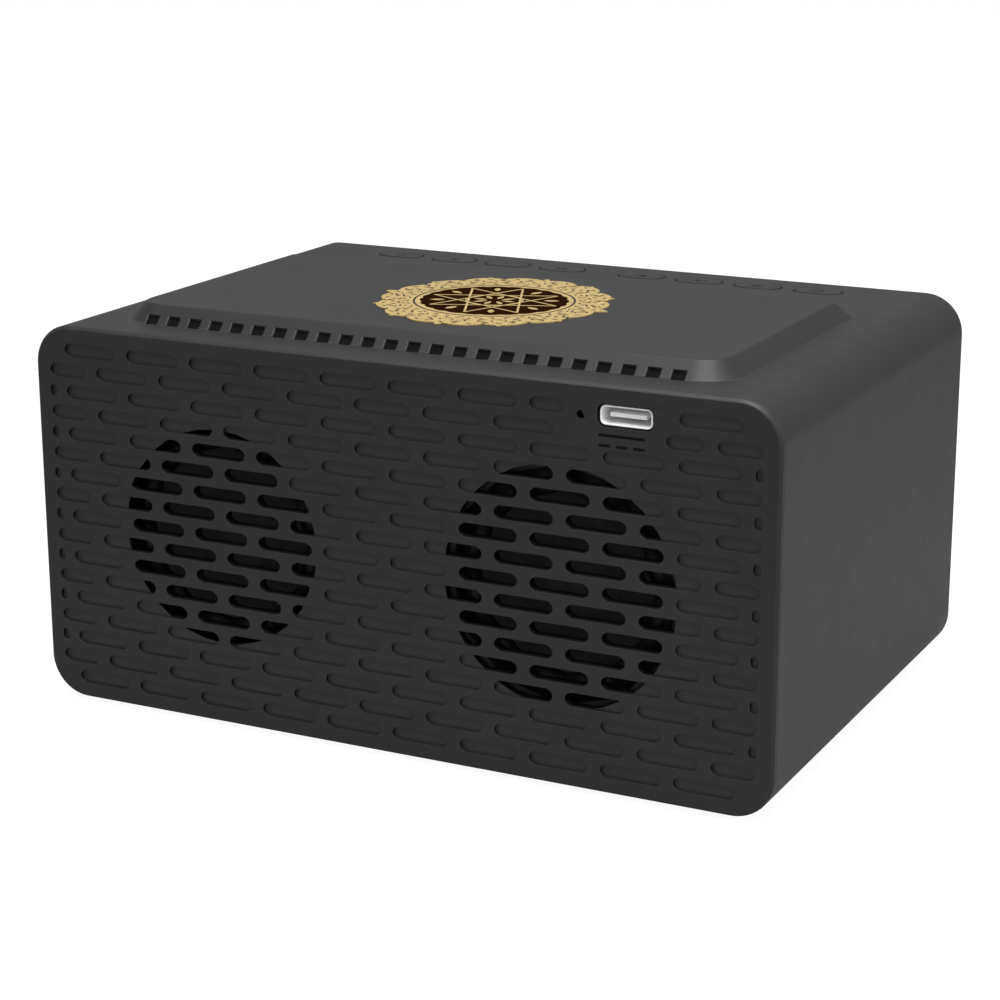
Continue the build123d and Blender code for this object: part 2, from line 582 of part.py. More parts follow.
def make_main_board():
    board = block(MAIN_BOARD_X, MAIN_BOARD_Y, (MAIN_BOARD_LOW, board_surface()))
    return board - [
        post_z(x, y, CLEAR_RADIUS, MAIN_BOARD_LOW - 1, board_surface() + 1) for x, y in main_board_holes()
    ]


def chip(x, y, width, length):
    low = board_surface()
    return block((x - width / 2, x + width / 2), (y - length / 2, y + length / 2), (low, low + CHIP_HEIGHT))


def make_board_chips():
    processor, amplifier = chip(-12, -10, 12, 12), chip(-32, 4, 8, 6)
    memory, clock = chip(8, -14, 8, 5), chip(8, 0, 5, 4)
    return [processor, amplifier, memory, clock]


def header(x, y, width):
    half, low = CONNECTOR_WIDTH / 2, board_surface()
    return block((x - width / 2, x + width / 2), (y - half, y + half), (low, low + CONNECTOR_HEIGHT))


def make_board_connectors():
    """Headers for the two speakers, the power board, the keys and the display."""
    speakers_and_power = [header(x, REAR_HEADER_Y, 8) for x in (*LEAD_X, 0)]
    return speakers_and_power + [header(-36, FRONT_HEADER_Y, 12), header(0, FRONT_HEADER_Y, 16)]


def make_coin_cell_holder():
    x, y = CELL_PLACE
    low, seat, rim = board_surface(), board_surface() + HOLDER_FLOOR, board_surface() + HOLDER_HEIGHT
    cup = post_z(x, y, CELL_RADIUS + HOLDER_WALL, low, rim, LARGE_SIDES)
    cup -= post_z(x, y, CELL_RADIUS + 0.1, seat, rim, LARGE_SIDES)
    return cup - block((x - NOTCH_WIDTH / 2, x + NOTCH_WIDTH / 2), (y - 2 * CELL_RADIUS, y), (seat, rim))


def make_coin_cell():
    low = board_surface() + HOLDER_FLOOR
    return post_z(*CELL_PLACE, CELL_RADIUS, low, low + CELL_HEIGHT, LARGE_SIDES)


def make_speaker_leads():
    """Flat twin lead from each speaker's basket down and over to its header."""
    start_y, end_z = FLANGE_Y + TOP_PLATE_Y, board_surface() + CONNECTOR_HEIGHT
    route = [
        (start_y, LEAD_START_Z), (start_y, LEAD_LOW_Z), (LEAD_TURN_Y, LEAD_LOW_Z),
        (LEAD_TURN_Y, LEAD_HIGH_Z), (REAR_HEADER_Y, LEAD_HIGH_Z), (REAR_HEADER_Y, end_z),
    ]
    path = Polyline(*[(0, y, z) for y, z in route])
    start = Plane(path @ 0, x_dir=(1, 0, 0), z_dir=path % 0)
    lead = sweep(start * Rectangle(LEAD_WIDTH, LEAD_THICKNESS), path, transition=Transition.RIGHT)
    return [Pos(x, 0, 0) * lead for x in LEAD_X]


# Screws


def make_screws():
    """Every screw is the same kind: boards, bezel and speakers."""
    screw = make_screw()
    from_below, from_behind, from_front = Rot(180, 0, 0), Rot(-90, 0, 0), Rot(90, 0, 0)
    key_seat, speaker_seat = KEY_BOARD_TOP - BOARD_THICKNESS, FLANGE_Y - FLANGE_THICKNESS
    places = [Pos(x, y, board_surface()) for x, y in main_board_holes()]
    places += [Pos(x, KEY_Y, key_seat) * from_below for x in KEY_POST_X]
    places += [Pos(x, DISPLAY_Y + BOARD_THICKNESS, z) * from_behind for x, z in display_posts()]
    places += [Pos(x, LUG_Y + LUG_THICKNESS, MID_Z + z) * from_behind for x, z in corners(CORNER_X, CORNER_Z)]
    for speaker_x, _ in SPEAKERS.values():
        places += [Pos(x, speaker_seat, z) * from_front for x, z in speaker_ears(speaker_x)]
    return [place * screw for place in places]


# Medallion


def lobed_outline(width, length, wave, tip):
    """Oval with round lobes and a pointed tip at each end of its width."""
    points = []
    steps = MEDAL_LOBES * LOBE_STEPS
    for i in range(steps):
        turn = 2 * math.pi * i / steps
        swell = 1 - wave + 2 * wave * abs(math.sin(MEDAL_LOBES * turn / 2))
        point = tip if i in (0, steps // 2) else 0
        points.append(((width / 2 * swell + point) * math.cos(turn), length / 2 * swell * math.sin(turn)))
    return Pos(MEDAL_X, MEDAL_Y) * Polygon(*points, align=None)


def make_medallion_plate():
    outline = lobed_outline(MEDAL_WIDTH, MEDAL_LENGTH, MEDAL_WAVE, MEDAL_TIP)
    return layer(outline, DECK_Z, DECK_Z + MEDAL_THICKNESS)


def make_medallion_field():
    low = DECK_Z + MEDAL_THICKNESS
    return layer(lobed_outline(FIELD_WIDTH, FIELD_LENGTH, MEDAL_WAVE, 0), low, low + FIELD_THICKNESS)


# Output


def export(name, shape):
    solids = shape if isinstance(shape, list) else [shape]
    found = [solid for item in solids for solid in item.solids()]
    export_step(Compound(found) if len(found) > 1 else found[0], f"parts/{name}.step")


def main():
    export("main_housing", make_main_housing())
    export("rear_cover", make_rear_cover())
    export("front_bezel", make_front_bezel())
    export("display_lens", make_display_lens())
    export("display_board", make_display_board())
    for name, x in DIGIT_X.items():
        export(f"{name}_digit", display_module(x, DIGIT_WIDTH, DIGIT_HEIGHT))
    export("colon_module", display_module(0, COLON_WIDTH, COLON_HEIGHT))
    for name, x in zip(KEY_NAMES, KEY_X):
        export(f"key_{name}", make_key(x))
        export(f"plunger_{name}", make_plunger(x))
    export("tact_switches", [make_switch(x) for x in KEY_X])
    export("key_board", make_key_board())
    for side, (x, _) in SPEAKERS.items():
        for piece, make in SPEAKER_PIECES.items():
            export(f"speaker_{side}_{piece}", Pos(x, FLANGE_Y, SPEAKER_Z) * make())
    export("socket_shell", make_socket_shell())
    export("socket_tongue", make_socket_tongue())
    export("power_board", make_power_board())
    export("reset_switch", make_reset_switch())
    export("reset_plunger", make_reset_plunger())
    export("main_board", make_main_board())
    export("board_chips", make_board_chips())
    export("board_connectors", make_board_connectors())
    export("coin_cell_holder", make_coin_cell_holder())
    export("coin_cell", make_coin_cell())
    export("speaker_leads", make_speaker_leads())
    export("screws", make_screws())
    export("medallion_plate", make_medallion_plate())
    export("medallion_field", make_medallion_field())
    export("rubber_feet", make_rubber_feet())


main()
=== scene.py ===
import json
import math

import bmesh
import bpy
from mathutils import Matrix, Vector


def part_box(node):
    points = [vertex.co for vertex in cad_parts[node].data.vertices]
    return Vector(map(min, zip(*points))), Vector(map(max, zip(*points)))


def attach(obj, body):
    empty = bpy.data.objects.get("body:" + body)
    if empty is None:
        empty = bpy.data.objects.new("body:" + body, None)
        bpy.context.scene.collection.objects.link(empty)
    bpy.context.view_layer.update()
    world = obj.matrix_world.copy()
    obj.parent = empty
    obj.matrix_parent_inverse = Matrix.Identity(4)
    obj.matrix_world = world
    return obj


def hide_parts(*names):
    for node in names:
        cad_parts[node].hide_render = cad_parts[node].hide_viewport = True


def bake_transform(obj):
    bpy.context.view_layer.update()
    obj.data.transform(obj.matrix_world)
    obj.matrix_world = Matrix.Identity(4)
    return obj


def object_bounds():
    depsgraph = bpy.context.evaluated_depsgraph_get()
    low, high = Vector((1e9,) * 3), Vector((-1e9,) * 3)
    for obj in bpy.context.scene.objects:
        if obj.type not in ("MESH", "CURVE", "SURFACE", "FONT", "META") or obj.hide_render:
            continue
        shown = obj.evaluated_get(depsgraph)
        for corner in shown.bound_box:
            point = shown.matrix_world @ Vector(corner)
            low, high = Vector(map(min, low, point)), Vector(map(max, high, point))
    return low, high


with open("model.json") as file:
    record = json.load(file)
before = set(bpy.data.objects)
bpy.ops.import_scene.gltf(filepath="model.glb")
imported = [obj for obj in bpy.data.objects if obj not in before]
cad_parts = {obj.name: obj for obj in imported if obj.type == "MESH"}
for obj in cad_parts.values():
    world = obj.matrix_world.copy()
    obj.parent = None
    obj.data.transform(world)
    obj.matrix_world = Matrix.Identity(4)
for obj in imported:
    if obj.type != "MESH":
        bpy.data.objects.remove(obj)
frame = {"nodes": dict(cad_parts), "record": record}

# A prayer-time table clock, dressed round its fixed CAD frame. Metres, +Z up, the display
# faces -Y and the speaker grille +Y. Sizes below are in millimetres and pass through MM.

MM = 0.001
CAD_LOW, CAD_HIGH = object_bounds()
NODES = frame["nodes"]
SLOT_OF = {part["node"]: part["material_slot"] for part in frame["record"]["subparts"]}

# Camera
SENSOR, LENS = 36.0, 89.278
NEAREST, FARTHEST = 10, 50000  # what it can see
CAMERA_PLACE = Vector((-209.43, 422.19, 169.24)) * MM
CAMERA_YAW, CAMERA_PITCH, CAMERA_ROLL = 26.647, 15.756, -0.1428  # degrees

# Faces of the clock that carry printing and light
REAR_Y, BASE_Z, TOP_Z, DECK_Z = 51.25, 1.0, 74.7, 78.0
HALF_WIDTH, HALF_HEIGHT, CORNER_RADIUS = 75.0, 36.85, 7.8
KEY_Y, KEY_TOP_Z = -42.6, 74.75
KEY_X = {
    "power": -47.4, "mode": -34.6, "previous": -21.8, "play": -9.0,
    "next": 9.0, "volume_down": 21.8, "volume_up": 34.6, "set": 47.4,
}
MODULE_Y, DISPLAY_Z, COLON_HALF = -47.9, 37.85, 6.0
DIGITS = {  # middle, and the figure it shows
    "hour_tens": (-41.5, 1), "hour_units": (-15.5, 2), "minute_tens": (15.5, 4), "minute_units": (41.5, 5),
}
DIGIT_HEIGHT, DIGIT_WIDTH, DIGIT_SLANT = 27.0, 15.0, 0.09
SEGMENT_HEIGHT, SEGMENT_WIDTH, SEGMENT_GAP = 0.2, 3.2, 0.3
MEDAL_X, MEDAL_Y, MEDAL_Z = -1.5, 10.0, 78.2
BAND_OUTER, BAND_INNER = (21.4, 22.7), (14.3, 13.75)  # half width and half length
MEDAL_WIDTH, MEDAL_LENGTH, MEDAL_LOBES, MEDAL_WAVE = 42.8, 45.4, 16, 0.03
SYMBOL_X, SYMBOL_Z = -46.25, 65.05
PRINT, MARK_PRINT = 0.02, 0.01  # thickness of the medallion's prints and of the signs
HAIR, HAIR_LEVELS = 0.0005, 16  # steps that keep the tops of crossing prints apart
# The grille's slots get painted shade on their walls and painted light on their floors
SLOT_SKIN, GRILLE_REACH = 0.1, (72.0, 34.2)  # depth where a slot's inside begins, and how far slots reach
SLOT_WALL_PAINTED_SHADE, UPWARD_PAINTED_LIGHT, SLOT_FLOOR_PAINTED_LIGHT = 0.25, 0.35, 1.25  # of the shell's tone, inside the slots: painted shade on the walls, less of it on walls that face up, painted light on the floors
WALL_TURN = 0.5  # a slot's wall is a face whose normal has less than this along Y

# Colours, written as they look on a screen, 0 to 255
CHARCOAL, MARK_GREY = (34, 34, 35), (8, 8, 8)
GOLD, FIELD_BROWN, GOLD_GAP = (149, 129, 81), (25, 12, 4), (30, 29, 29)
LED_RED, LED_OFF = (255, 50, 34), (46, 26, 25)
PLASTIC_GLOSS, ACRYLIC_IOR = 0.25, 1.49  # specular level of the shell, index of the window
SPREAD_ENDS, RAMP_ENDS = (0.3, 0.7), (0.35, 0.65)  # noise values that stand for the two ends


def linear(colour):
    """Screen colour, 0 to 255, as the renderer's linear red, green, blue and alpha."""
    def channel(value):
        share = value / 255
        return share / 12.92 if share <= 0.04045 else ((share + 0.055) / 1.055) ** 2.4

    return (*[channel(value) for value in colour], 1.0)


# Materials


class Look:
    """A node material that is being wired up."""

    def __init__(self, name):
        self.material = bpy.data.materials.new(name)
        self.material.use_nodes = True
        self.tree = self.material.node_tree
        self.tree.nodes.clear()
        self.output = self.add("OutputMaterial")
        self.shader = self.add("BsdfPrincipled")
        self.join(self.shader, "BSDF", self.output, "Surface")
        self.place = self.add("TexCoord")

    def add(self, kind, **settings):
        node = self.tree.nodes.new("ShaderNode" + kind)
        for key, value in settings.items():
            setattr(node, key, value)
        return node

    def join(self, source, out, target, into):
        self.tree.links.new(source.outputs[out], target.inputs[into])

    def set(self, **values):
        for key, value in values.items():
            self.shader.inputs[key.replace("_", " ")].default_value = value

    def noise(self, size_mm, detail=2.0, stretch=(1, 1, 1)):
        """Noise whose blotches are about size_mm across."""
        mapping = self.add("Mapping")
        mapping.inputs["Scale"].default_value = [s / (size_mm * MM) for s in stretch]
        noise = self.add("TexNoise")
        noise.inputs["Scale"].default_value = 1.0
        noise.inputs["Detail"].default_value = detail
        self.join(self.place, "Object", mapping, "Vector")
        self.join(mapping, "Vector", noise, "Vector")
        return noise

    def range(self, source, low, high, into):
        """Feeds source into a shader input, spread from low to high."""
        spread = self.add("MapRange")
        spread.inputs["From Min"].default_value, spread.inputs["From Max"].default_value = SPREAD_ENDS
        spread.inputs["To Min"].default_value = low
        spread.inputs["To Max"].default_value = high
        self.join(source, 0, spread, "Value")
        self.join(spread, "Result", self.shader, into)

    def sum(self, operation, first, second=0.0):
        """Result of one step of arithmetic on two sockets or numbers."""
        node = self.add("Math", operation=operation)
        for socket, value in zip(node.inputs, (first, second)):
            if isinstance(value, (int, float)):
                socket.default_value = value
            else:
                self.tree.links.new(value, socket)
        return node.outputs[0]

    def colours(self, source, first, second):
        """Base colour that runs from first to second with source."""
        ramp = self.add("ValToRGB")
        for element, position, colour in zip(ramp.color_ramp.elements, RAMP_ENDS, (first, second)):
            element.position = position
            element.color = linear(colour)
        self.join(source, 0, ramp, "Fac")
        self.join(ramp, "Color", self.shader, "Base Color")

    def bump(self, source, height_mm, strength):
        bump = self.add("Bump")
        bump.inputs["Distance"].default_value = height_mm * MM
        bump.inputs["Strength"].default_value = strength
        self.join(source, 0, bump, "Height")
        self.join(bump, "Normal", self.shader, "Normal")


def shade(colour, amount):
    """The colour made lighter or darker by a number of screen steps."""
    return tuple(min(255, max(0, value + amount)) for value in colour)


def moulded(name, colour, rough=(0.48, 0.52), grain=0.28, depth=0.012, specular=PLASTIC_GLOSS):
    """Spark-eroded plastic: fine pits over a faint, wide unevenness of the skin."""
    look = Look(name)
    look.set(Specular_IOR_Level=specular)
    wide, fine = look.noise(14, 3), look.noise(grain, 3)
    look.colours(wide, shade(colour, -1), shade(colour, 1))
    look.range(look.noise(5, 4), *rough, into="Roughness")
    look.bump(fine, depth, 0.6)
    return look


def moulded_plastic(name, colour, **settings):
    return moulded(name, colour, **settings).material


def grille_plastic_painted_shade(name, colour):
    """The shell's plastic, with painted shade on the walls inside the slots and a touch of painted light on
    their floors.
    """
    look = moulded(name, colour)
    place, turn = look.add("SeparateXYZ"), look.add("SeparateXYZ")
    look.join(look.place, "Object", place, "Vector")
    look.join(look.add("NewGeometry"), "True Normal", turn, "Vector")
    inside = look.sum("LESS_THAN", place.outputs["Y"], (REAR_Y - SLOT_SKIN) * MM)
    for axis, middle, reach in (("X", 0, GRILLE_REACH[0]), ("Z", DISPLAY_Z, GRILLE_REACH[1])):
        aside = look.sum("ABSOLUTE", look.sum("SUBTRACT", place.outputs[axis], middle * MM))
        inside = look.sum("MULTIPLY", inside, look.sum("LESS_THAN", aside, reach * MM))
    # Painted shade on the slots' walls, less on walls that face up; painted light on the floors
    is_wall = look.sum("LESS_THAN", look.sum("ABSOLUTE", turn.outputs["Y"]), WALL_TURN)
    upward = look.sum("MULTIPLY", look.sum("MAXIMUM", turn.outputs["Z"], 0.0), UPWARD_PAINTED_LIGHT)
    wall = look.sum("SUBTRACT", look.sum("ADD", upward, SLOT_WALL_PAINTED_SHADE), SLOT_FLOOR_PAINTED_LIGHT)
    level = look.sum("ADD", look.sum("MULTIPLY", is_wall, wall), SLOT_FLOOR_PAINTED_LIGHT - 1)
    share = look.sum("ADD", look.sum("MULTIPLY", inside, level), 1.0)
    scaled = look.add("VectorMath", operation="SCALE")
    look.join(look.tree.nodes["Color Ramp"], "Color", scaled, 0)
    look.tree.links.new(share, scaled.inputs["Scale"])
    look.join(scaled, "Vector", look.shader, "Base Color")
    # The gloss takes the same painted shade and light
    gloss = look.sum("MULTIPLY", share, PLASTIC_GLOSS)
    look.tree.links.new(gloss, look.shader.inputs["Specular IOR Level"])
    return look.material


def metal(name, colour, rough=(0.2, 0.34), stretch=(1, 1, 12), metallic=1.0):
    """Rolled or plated sheet with a fine grain along one way."""
    look = Look(name)
    look.set(Metallic=metallic)
    streaks = look.noise(0.96, 4, stretch)
    look.colours(look.noise(3), shade(colour, -7), shade(colour, 7))
    look.range(streaks, *rough, into="Roughness")
    look.bump(streaks, 0.002, 0.5)
    return look.material


def rubber(name, colour, rough=(0.7, 0.85)):
    look = Look(name)
    look.set(Specular_IOR_Level=0.3)
    look.colours(look.noise(4, 3), shade(colour, -4), shade(colour, 6))
    look.range(look.noise(1.5), *rough, into="Roughness")
    look.bump(look.noise(0.35, 2), 0.02, 0.7)
    return look.material


def cone_paper(name):
    """Pressed paper with short fibres."""
    look = Look(name)
    look.set(Specular_IOR_Level=0.25)
    fibres = look.noise(0.6, 5, (1, 0.3, 1))
    look.colours(fibres, (54, 54, 55), (66, 66, 67))
    look.range(fibres, 0.75, 0.92, into="Roughness")
    look.bump(fibres, 0.06, 0.8)
    return look.material


def circuit_board(name):
    """Green solder mask over a pattern of copper tracks."""
    look = Look(name)
    look.set(Specular_IOR_Level=0.5)
    tracks = look.add("TexBrick", offset=0.5)
    tracks.inputs["Scale"].default_value = 160.0
    tracks.inputs["Mortar Size"].default_value = 0.03
    tracks.inputs["Color1"].default_value = linear((16, 62, 38))
    tracks.inputs["Color2"].default_value = linear((19, 72, 45))
    tracks.inputs["Mortar"].default_value = linear((40, 112, 66))
    look.join(look.place, "Object", tracks, "Vector")
    look.join(tracks, "Color", look.shader, "Base Color")
    look.range(look.noise(6), 0.28, 0.42, into="Roughness")
    look.bump(tracks, 0.02, -0.5)
    return look.material


def printed_foil(name, colour, spread, metallic, rough, specular=0.4):
    """Metallic ink on a thin foil, with the fine speckle of its pigment."""
    look = Look(name)
    look.set(Metallic=metallic, Specular_IOR_Level=specular)
    speckle = look.noise(0.35, 4)
    look.colours(speckle, shade(colour, -spread), shade(colour, spread))
    look.range(look.noise(3), *rough, into="Roughness")
    look.bump(speckle, 0.01, 0.5)
    return look.material


def smoked_window(name):
    """Dark acrylic: its two faces let about an eighth of the light through and mirror the room."""
    look = Look(name)
    look.tree.nodes.remove(look.shader)
    tint, gloss, mix = look.add("BsdfTransparent"), look.add("BsdfGlossy"), look.add("MixShader")
    fresnel = look.add("Fresnel")
    fresnel.inputs["IOR"].default_value = ACRYLIC_IOR
    tint.inputs["Color"].default_value = linear((160, 160, 164))
    gloss.inputs["Color"].default_value = linear((245, 245, 248))
    smears = look.add("MapRange")
    smears.inputs["To Min"].default_value = 0.015
    smears.inputs["To Max"].default_value = 0.07
    look.join(look.noise(18, 3), 0, smears, "Value")
    look.join(smears, "Result", gloss, "Roughness")
    look.join(fresnel, "Fac", mix, "Fac")
    look.join(tint, "BSDF", mix, 1)
    look.join(gloss, "BSDF", mix, 2)
    look.join(mix, "Shader", look.output, "Surface")
    return look.material


def lit_segment(name, colour, strength):
    """Diffused light window, brighter in the middle of its noise blotches."""
    look = Look(name)
    look.set(Emission_Color=linear(colour), Roughness=0.4)
    look.colours(look.noise(2), shade(colour, -25), colour)
    look.range(look.noise(4), strength * 0.92, strength * 1.05, into="Emission Strength")
    return look.material


LOOKS = {
    "charcoal_shell": moulded_plastic("charcoal_shell", CHARCOAL),
    "key_plastic": moulded_plastic("key_plastic", (31, 31, 33), rough=(0.42, 0.52), grain=0.2),
    "smoked_window": smoked_window("smoked_window"),
    "display_module": moulded_plastic("display_module", (20, 20, 21), rough=(0.3, 0.4), depth=0.004),
    "circuit_board": circuit_board("circuit_board"),
    "chip_black": moulded_plastic("chip_black", (26, 26, 27), depth=0.006),
    "header_white": moulded_plastic("header_white", (222, 218, 205), specular=0.45, depth=0.006),
    "switch_black": moulded_plastic("switch_black", (30, 30, 31), depth=0.006),
    "plunger_white": moulded_plastic("plunger_white", (214, 214, 210), specular=0.45, depth=0.006),
    # Painted reflection: near-white, barely metallic steel, so the socket's shaded inside shows bright like
    # polished steel
    "socket_steel": metal("socket_steel", (250, 250, 248), rough=(0.3, 0.4), metallic=0.1),
    "cell_steel": metal("cell_steel", (200, 200, 198)),
    "screw_steel": metal("screw_steel", (168, 168, 170)),
    "basket_steel": moulded_plastic("basket_steel", (28, 28, 29), rough=(0.3, 0.42), depth=0.004),
    "ferrite": moulded_plastic("ferrite", (52, 52, 54), rough=(0.55, 0.7), grain=0.4),
    "yoke_steel": metal("yoke_steel", (176, 176, 178)),
    "cone_paper": cone_paper("cone_paper"),
    "coil_copper": metal("coil_copper", (196, 116, 74), stretch=(1, 14, 1)),
    "surround_rubber": rubber("surround_rubber", (26, 26, 27), rough=(0.5, 0.62)),
    "gasket_foam": rubber("gasket_foam", (36, 36, 37)),
    "lead_rubber": rubber("lead_rubber", (150, 26, 24), rough=(0.5, 0.6)),
    "gold_foil": printed_foil("gold_foil", GOLD, 14, 0.1, (0.46, 0.56), 0.25),
    "dark_foil": printed_foil("dark_foil", FIELD_BROWN, 3, 0.0, (0.42, 0.55), 0.0),
    "foot_rubber": rubber("foot_rubber", (30, 30, 31)),
}
# The rear cover's plastic, with painted shade and light inside its slots
GRILLE_PAINTED_SHADE = grille_plastic_painted_shade("charcoal_grille_painted_shade", CHARCOAL)
LIT = lit_segment("lit_segment", LED_RED, 7.0)
UNLIT = moulded_plastic("unlit_segment", LED_OFF, rough=(0.3, 0.4), depth=0.003)
GAP = moulded_plastic("ornament_gap", GOLD_GAP, depth=0.006, specular=0.12)
MARK = moulded_plastic("moulded_mark", MARK_GREY, depth=0.004, specular=0.08)


def paint(obj, look):
    obj.data.materials.clear()
    obj.data.materials.append(look)


# The CAD nodes keep their meshes: they are welded, softened at their edges and painted

ROUNDING = {  # millimetres
    "main_housing": 0.3, "rear_cover": 0.05, "front_bezel": 0.25, "display_lens": 0.3, "rubber_feet": 0.35,
}
KEY_ROUNDING, SMALL_ROUNDING = 0.14, 0.06
WELD_REACH = 0.002 * MM
FLAT_TURN = math.radians(0.1)  # between triangles that are one flat face
SHARP_TURN, SQUARE_TURN = math.radians(28), math.radians(80)
SLOT_END_TURN = (math.radians(50), math.radians(70))  # between the flats of a slot's round end
ROUNDING_STEPS = 3
SLOT_END_ROUNDING, FLAT_SHARE = 0.62, 0.46  # millimetres, and at most this share of a flat
RIM_ROUNDING, RIM_BAND = 0.15, 1.0  # the cover's outer edges, and how far in from its outline they lie


def spot(vertex):
    """A vertex's place in steps of a hundredth of a millimetre."""
    return tuple(round(value / (0.01 * MM)) for value in vertex.co)


def slot_end(edge):
    """Share of the rounding for an edge that stands between two flats of a slot's round end."""
    here, there = [spot(vertex) for vertex in edge.verts]
    upright = here[0] == there[0] and here[2] == there[2]
    if not upright or not SLOT_END_TURN[0] < edge.calc_face_angle(0) < SLOT_END_TURN[1]:
        return 0
    flats = [
        side.calc_length() for side in edge.verts[0].link_edges
        if side is not edge and side.is_manifold and side.calc_face_angle(0) > SQUARE_TURN
    ]
    return min(1, FLAT_SHARE * min(flats, default=0) / (SLOT_END_ROUNDING * MM))


def rim(edge):
    """Whether an edge is one of the two round the cover's outer chamfer."""
    low, high = [value / MM for value in CAD_LOW], [value / MM for value in CAD_HIGH]
    for vertex in edge.verts:
        x, y, z = vertex.co / MM
        outside = min(x - low[0], high[0] - x, z - BASE_Z, TOP_Z - z) < RIM_BAND or is_by_corner(x, z)
        if not outside or y < REAR_Y - RIM_BAND:
            return False
    return edge.calc_face_angle(0) > SHARP_TURN


def is_by_corner(x, z):
    """Whether a point lies in the band along one of the body's round corners."""
    aside = abs(x) - (HALF_WIDTH - CORNER_RADIUS)
    rise = abs(z - DISPLAY_Z) - (HALF_HEIGHT - CORNER_RADIUS)
    return min(aside, rise) > 0 and math.hypot(aside, rise) > CORNER_RADIUS - RIM_BAND


def weigh_edges(obj, name, test):
    """Edge attribute with test's result, 0 to 1, on the welded mesh, for a bevel to follow."""
    form = bmesh.new()
    form.from_mesh(obj.data)
    bmesh.ops.remove_doubles(form, verts=form.verts, dist=WELD_REACH)
    shares = {frozenset(spot(v) for v in edge.verts): test(edge) for edge in form.edges if edge.is_manifold}
    form.free()
    weights = obj.data.attributes.new(name, "FLOAT", "EDGE")
    spots = [spot(vertex) for vertex in obj.data.vertices]
    for edge in obj.data.edges:
        weights.data[edge.index].value = shares.get(frozenset(spots[i] for i in edge.vertices), 0)


def add_bevel(obj, name, width_mm):
    bevel = obj.modifiers.new(name, "BEVEL")
    bevel.width = width_mm * MM
    bevel.segments = ROUNDING_STEPS
    bevel.use_clamp_overlap = False
    return bevel


def round_by_weight(obj, name, test, width_mm):
    weigh_edges(obj, name, test)
    bevel = add_bevel(obj, name, width_mm)
    bevel.limit_method = "WEIGHT"
    bevel.edge_weight = name


def flatten(obj):
    """Makes the triangles of each flat face one face."""
    dissolve = obj.modifiers.new("flatten", "DECIMATE")
    dissolve.decimate_type = "DISSOLVE"
    dissolve.angle_limit = FLAT_TURN
    return dissolve


def flatten_walls(obj):
    """Flattens all but the faces across Y, which have the slots' openings in them."""
    for edge in obj.data.edges:
        first, second = [spot(obj.data.vertices[i]) for i in edge.vertices]
        edge.use_seam = first[1] == second[1]
    flatten(obj).delimit = {"SEAM"}


def soften(obj, width_mm):
    """Welds the mesh, rounds its sharp edges and keeps its flat faces looking flat."""
    obj.data.polygons.foreach_set("use_smooth", [True] * len(obj.data.polygons))
    weld = obj.modifiers.new("weld", "WELD")
    weld.merge_threshold = WELD_REACH
    if obj == NODES["rear_cover"]:
        flatten_walls(obj)
        round_by_weight(obj, "slot_ends", slot_end, SLOT_END_ROUNDING)
        round_by_weight(obj, "rims", rim, RIM_ROUNDING)
    if obj == NODES["main_housing"]:
        flatten(obj)
    bevel = add_bevel(obj, "bevel", width_mm)
    bevel.limit_method = "ANGLE"
    bevel.angle_limit = SHARP_TURN
    bevel.harden_normals = True
    weighted = obj.modifiers.new("weighted", "WEIGHTED_NORMAL")
    weighted.keep_sharp = True


def dress_cad_nodes():
    for name, obj in NODES.items():
        paint(obj, GRILLE_PAINTED_SHADE if name == "rear_cover" else LOOKS[SLOT_OF[name]])
        if name.startswith("key_") and name != "key_board":
            soften(obj, KEY_ROUNDING)
        else:
            soften(obj, ROUNDING.get(name, SMALL_ROUNDING))


def new_piece(name, form, look):
    """Object made from a finished bmesh, which is freed."""
    mesh = bpy.data.meshes.new(name)
    form.to_mesh(mesh)
    form.free()
    obj = bpy.data.objects.new(name, mesh)
    bpy.context.scene.collection.objects.link(obj)
    paint(obj, look)
    return obj


# Surrounds: the rubber half-roll round each cone, between the cone and the flange

SURROUND_FLATS = 12
ROLL_MIDDLE, ROLL_REACH, ROLL_RISE, ROLL_SKIN = 18.4, 1.7, 1.45, 0.35
GLUED_EDGE, SHOULDER_STEP = 21.9, 0.05  # the outer flat's edge, and how far in from the roll it starts


def roll_section(steps=8):
    """Radii and heights of the half-roll's section, with the flat outside it."""
    turns = [math.pi * i / steps for i in range(steps + 1)]
    hollow = (ROLL_REACH - ROLL_SKIN, ROLL_RISE - ROLL_SKIN)
    outside = [(ROLL_MIDDLE + ROLL_REACH * math.cos(t), ROLL_RISE * math.sin(t)) for t in turns[1:]]
    inside = [(ROLL_MIDDLE + hollow[0] * math.cos(t), hollow[1] * math.sin(t)) for t in turns[::-1]]
    shoulder = (ROLL_MIDDLE + ROLL_REACH - SHOULDER_STEP, ROLL_SKIN)
    return [(GLUED_EDGE, 0), (GLUED_EDGE, ROLL_SKIN), shoulder] + outside + inside


def spoke(turn, radius, height=0.0):
    """Offset of a point from the middle of a speaker's flange."""
    return Vector((radius * math.cos(turn), height, radius * math.sin(turn))) * MM


